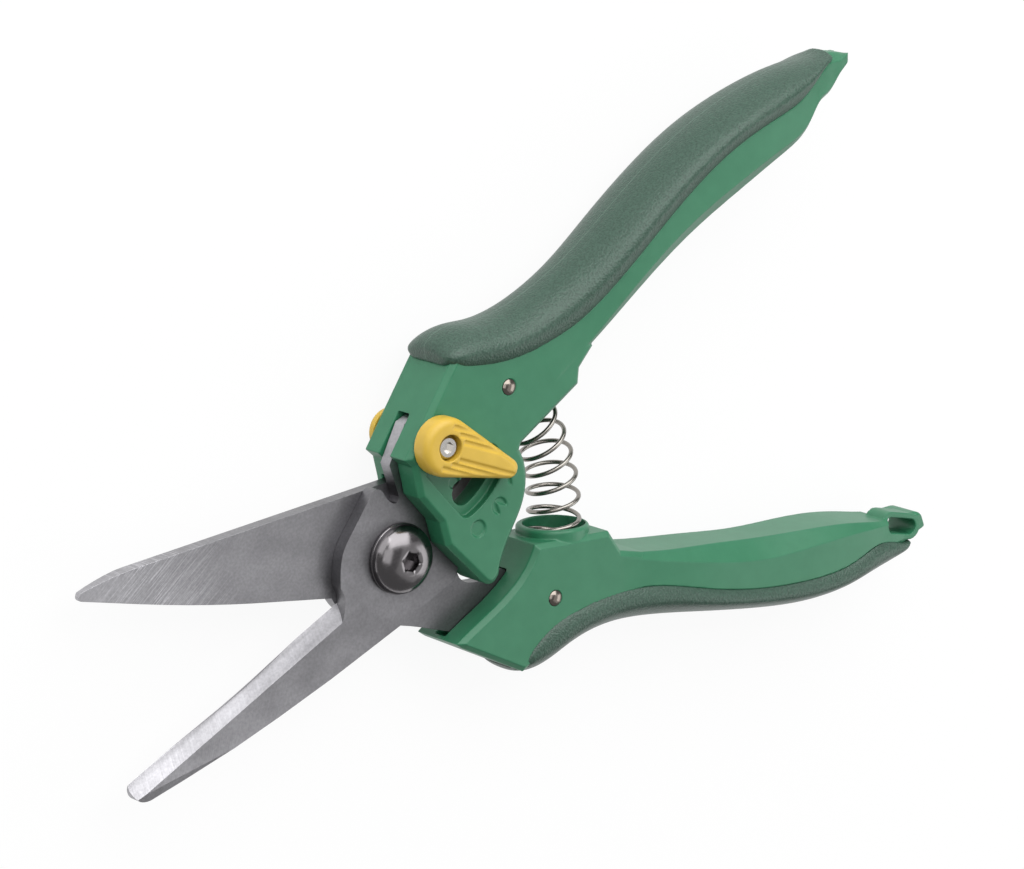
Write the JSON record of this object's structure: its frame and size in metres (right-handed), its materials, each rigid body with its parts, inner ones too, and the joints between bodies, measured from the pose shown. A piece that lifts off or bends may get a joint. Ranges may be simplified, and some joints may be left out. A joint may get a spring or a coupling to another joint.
{
  "type": "pruning shears",
  "caption": "Pruning shears with two straight blades on one pivot, moulded handles with soft grips, an opening spring and a thumb latch.",
  "frame": {"origin": "on the pivot axis, in the plane the shears lie on, at the nut end of the pivot bolt", "axes": "+Z along the pivot towards the bolt's head, +X back between the open handles, +Y towards the handle that carries the latch"},
  "size_m": [0.1874, 0.1047, 0.0229],
  "materials": {
    "ground_blade_steel": "satin, ground flat with fine brushed marks",
    "polished_steel": "polished domed bolt head",
    "zinc_plated_steel": "bright zinc plate",
    "nickel_plated_steel": "nickel plate, polished",
    "spring_wire": "bright drawn spring wire",
    "green_nylon": "moulded, semi-gloss, fine grain",
    "dark_green_rubber": "soft overmoulding with a fine pebbled grain",
    "yellow_nylon": "moulded, semi-gloss",
    "nylon_insert": "natural nylon, matt"
  },
  "bodies": {
    "upper": {"upper_handle": "green_nylon", "front_blade": "ground_blade_steel", "pivot_bolt": "polished_steel", "pivot_washer": "zinc_plated_steel", "pivot_nut": "zinc_plated_steel", "nut_ring": "nylon_insert", "upper_grip": "dark_green_rubber", "upper_tang_pin": "nickel_plated_steel", "handle_spring": "spring_wire"},
    "lower": {"lower_handle": "green_nylon", "rear_blade": "ground_blade_steel", "lower_grip": "dark_green_rubber", "lower_tang_pin": "nickel_plated_steel"},
    "latch": {"latch_lever_front": "yellow_nylon", "latch_lever_back": "yellow_nylon", "latch_screw": "nickel_plated_steel", "latch_nut": "nickel_plated_steel", "latch_pin": "nickel_plated_steel"}
  },
  "joints": [
    {"name": "blade_pivot", "type": "hinge", "parent": "upper", "child": "lower", "pos_m": [0, 0, 0], "axis": [0, 0, 1], "range_deg": [0, 33], "stiffness_Nm_per_rad": 0.7, "springref_deg": -17.19, "deforming": ["handle_spring"]},
    {"name": "latch_turn", "type": "hinge", "parent": "upper", "child": "latch", "pos_m": [0.0103, 0.0194, 0], "axis": [0, 0, 1], "range_deg": [-36, 0]}
  ]
}
